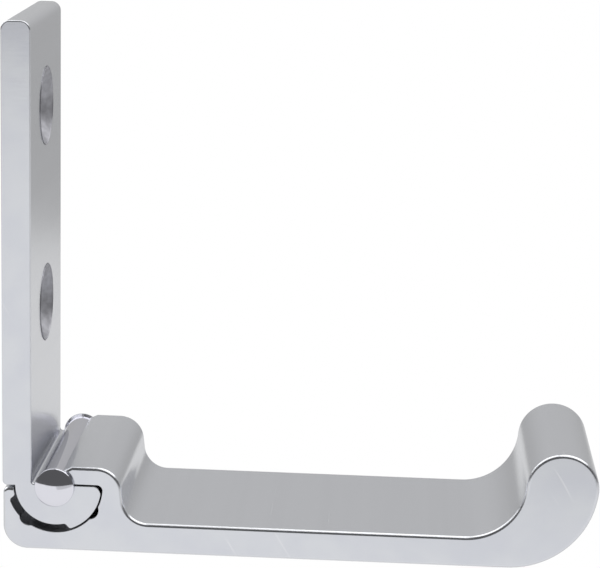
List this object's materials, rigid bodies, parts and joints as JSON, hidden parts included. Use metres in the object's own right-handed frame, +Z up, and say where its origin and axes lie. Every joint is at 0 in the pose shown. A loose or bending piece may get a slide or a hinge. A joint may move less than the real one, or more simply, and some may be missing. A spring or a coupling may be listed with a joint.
{
  "type": "folding wall hook",
  "caption": "Wall hook whose aluminium arm hangs out level from a screwed-on plate and folds up flat against it.",
  "frame": {"origin": "on the plate's back face, at mid-width, halfway between the two screw holes", "axes": "+X out from the wall along the lowered arm, +Y along the hinge pin, +Z up"},
  "size_m": [0.063, 0.0224, 0.0563],
  "materials": {
    "satin_plate": "satin anodised extrusion",
    "satin_arm": "satin anodised extrusion",
    "polished_pin": "polished steel"
  },
  "bodies": {
    "plate": {"wall_plate": "satin_plate", "hinge_pin": "polished_pin"},
    "arm": {"hook_arm": "satin_arm"}
  },
  "joints": [
    {"name": "fold", "type": "hinge", "parent": "plate", "child": "arm", "pos_m": [0.0056, 0, -0.02845], "axis": [0, -1, 0], "range_deg": [0, 90]}
  ]
}
